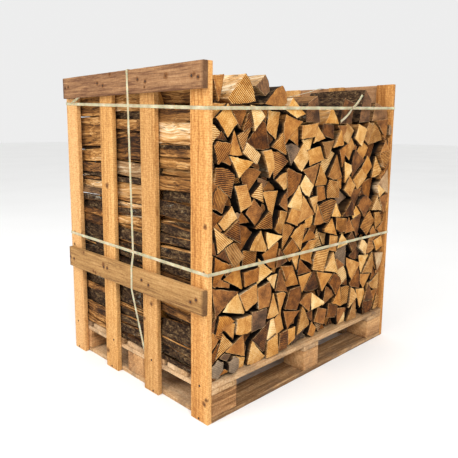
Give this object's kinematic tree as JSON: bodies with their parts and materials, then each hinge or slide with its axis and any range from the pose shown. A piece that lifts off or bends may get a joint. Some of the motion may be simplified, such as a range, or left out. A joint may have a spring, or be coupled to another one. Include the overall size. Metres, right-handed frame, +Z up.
{
  "type": "pallet crate of split firewood",
  "caption": "Split hardwood logs stacked crossways in rows on a block pallet with slatted end panels, open front, back and top, held by plastic straps.",
  "frame": {"origin": "middle of the base, on the surface the pallet stands on", "axes": "+X along the open log face from the left end panel to the right one, +Y from the front log face to the back, +Z up"},
  "size_m": [1.0758, 0.8026, 1.0693],
  "materials": {
    "pallet_boards": "rough-sawn weathered softwood",
    "pallet_blocks": "sawn softwood with end grain showing",
    "panel_slats": "rough-sawn fresh softwood",
    "panel_rails": "sawn softwood with nail heads",
    "firewood": "split hardwood with sawn ends and bark",
    "strapping": "thin translucent pale strap"
  },
  "bodies": {
    "root": {"block_front_left": "pallet_blocks", "block_front_middle": "pallet_blocks", "block_front_right": "pallet_blocks", "block_middle_left": "pallet_blocks", "block_middle_middle": "pallet_blocks", "block_middle_right": "pallet_blocks", "block_rear_left": "pallet_blocks", "block_rear_middle": "pallet_blocks", "block_rear_right": "pallet_blocks", "bottom_board_front": "pallet_boards", "bottom_board_left": "pallet_boards", "bottom_board_middle": "pallet_boards", "bottom_board_rear": "pallet_boards", "bottom_board_right": "pallet_boards", "deck_board_1": "pallet_boards", "deck_board_2": "pallet_boards", "deck_board_3": "pallet_boards", "deck_board_4": "pallet_boards", "deck_board_5": "pallet_boards", "deck_board_6": "pallet_boards", "deck_board_7": "pallet_boards", "firewood_row_front": "firewood", "firewood_row_middle": "firewood", "firewood_row_rear": "firewood", "left_panel_middle_rail": "panel_rails", "left_panel_slat_1": "panel_slats", "left_panel_slat_2": "panel_slats", "left_panel_slat_3": "panel_slats", "left_panel_slat_4": "panel_slats", "left_panel_top_rail": "panel_rails", "right_panel_middle_rail": "panel_rails", "right_panel_slat_1": "panel_slats", "right_panel_slat_2": "panel_slats", "right_panel_slat_3": "panel_slats", "right_panel_slat_4": "panel_slats", "right_panel_top_rail": "panel_rails", "strap_lower": "strapping", "strap_over_top": "strapping", "strap_upper": "strapping", "stringer_board_left": "pallet_boards", "stringer_board_middle": "pallet_boards", "stringer_board_right": "pallet_boards", "top_log_front_1": "firewood", "top_log_front_10": "firewood", "top_log_front_2": "firewood", "top_log_front_3": "firewood", "top_log_front_4": "firewood", "top_log_front_5": "firewood", "top_log_front_6": "firewood", "top_log_front_7": "firewood", "top_log_front_8": "firewood", "top_log_front_9": "firewood", "top_log_middle_1": "firewood", "top_log_middle_2": "firewood", "top_log_middle_3": "firewood", "top_log_middle_4": "firewood", "top_log_rear_1": "firewood", "top_log_rear_2": "firewood", "top_log_rear_3": "firewood", "top_log_rear_4": "firewood"}
  },
  "joints": []
}
